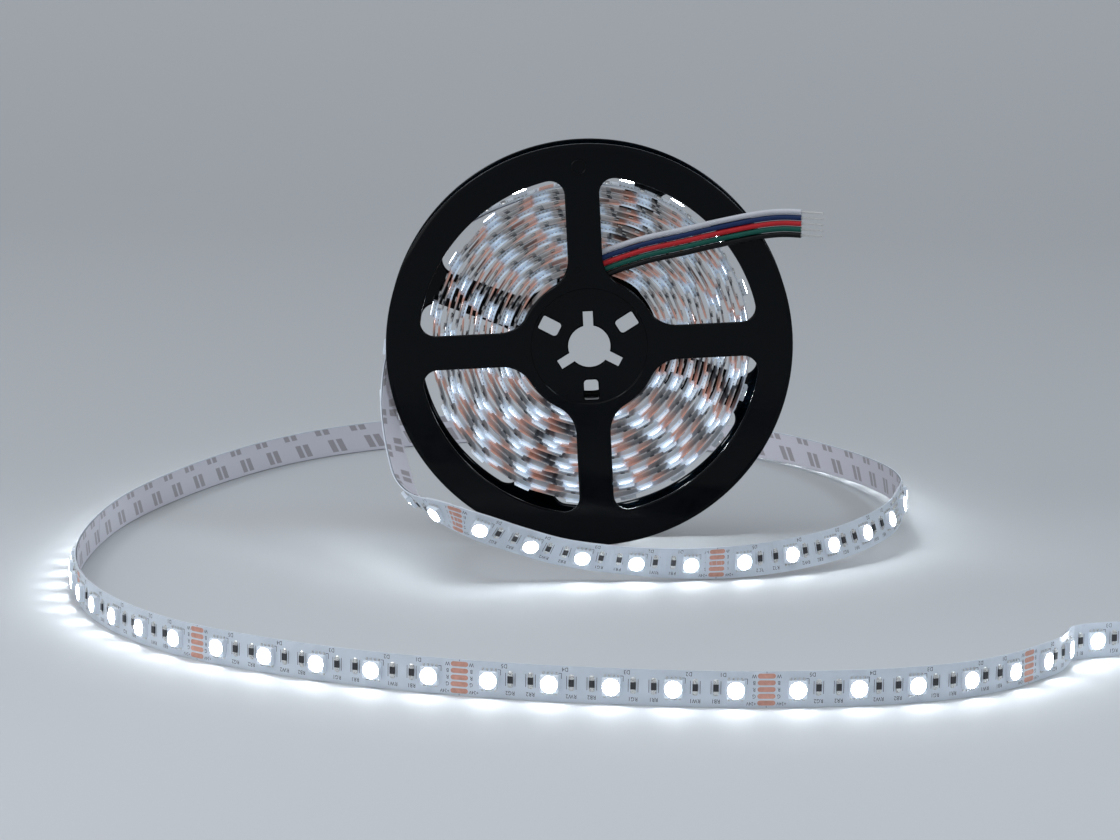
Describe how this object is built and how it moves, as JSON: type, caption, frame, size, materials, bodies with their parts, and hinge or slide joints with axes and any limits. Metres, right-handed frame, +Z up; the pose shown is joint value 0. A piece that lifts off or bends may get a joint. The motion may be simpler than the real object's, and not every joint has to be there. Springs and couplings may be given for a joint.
{
  "type": "led strip light reel",
  "caption": "Moulded plastic reel standing on its rim, wound with a flexible circuit of square lamp packages whose free end loops over the floor, with a bare-ended lead of coloured wires.",
  "frame": {"origin": "on the floor, under the middle of the reel and its free strip taken together, without the lead", "axes": "+Z up; +Y along the reel's axis, from its front flange to its rear flange; +X to the right seen from the front"},
  "size_m": [0.338, 0.4014, 0.127],
  "materials": {
    "reel_plastic": "moulded black plastic, satin to glossy",
    "strip_circuit": "white flexible circuit with a satin solder mask",
    "lamp_body": "white lamp packages",
    "lamp_glow": "lit lamp window",
    "copper_pad": "bare copper pads at the cut lines",
    "chip_black": "chip resistors",
    "chip_tin": "tinned terminals",
    "silkscreen": "printed marks",
    "liner_paper": "lilac-grey release liner with a small printed pattern",
    "wire_white": "white insulation",
    "wire_blue": "navy blue insulation",
    "wire_red": "red insulation",
    "wire_green": "green insulation",
    "wire_black": "black insulation",
    "tinned_copper": "tinned wire ends"
  },
  "bodies": {
    "root": {"front_flange": "reel_plastic", "rear_flange": "reel_plastic", "strip_section_1": "strip_circuit", "strip_section_2": "strip_circuit", "strip_section_3": "strip_circuit", "liner_1": "liner_paper", "liner_2": "liner_paper", "liner_3": "liner_paper", "strip_roll": "strip_circuit", "white_wire": "wire_white", "blue_wire": "wire_blue", "red_wire": "wire_red", "green_wire": "wire_green", "black_wire": "wire_black", "white_wire_end": "tinned_copper", "blue_wire_end": "tinned_copper", "red_wire_end": "tinned_copper", "green_wire_end": "tinned_copper", "black_wire_end": "tinned_copper"}
  },
  "joints": []
}
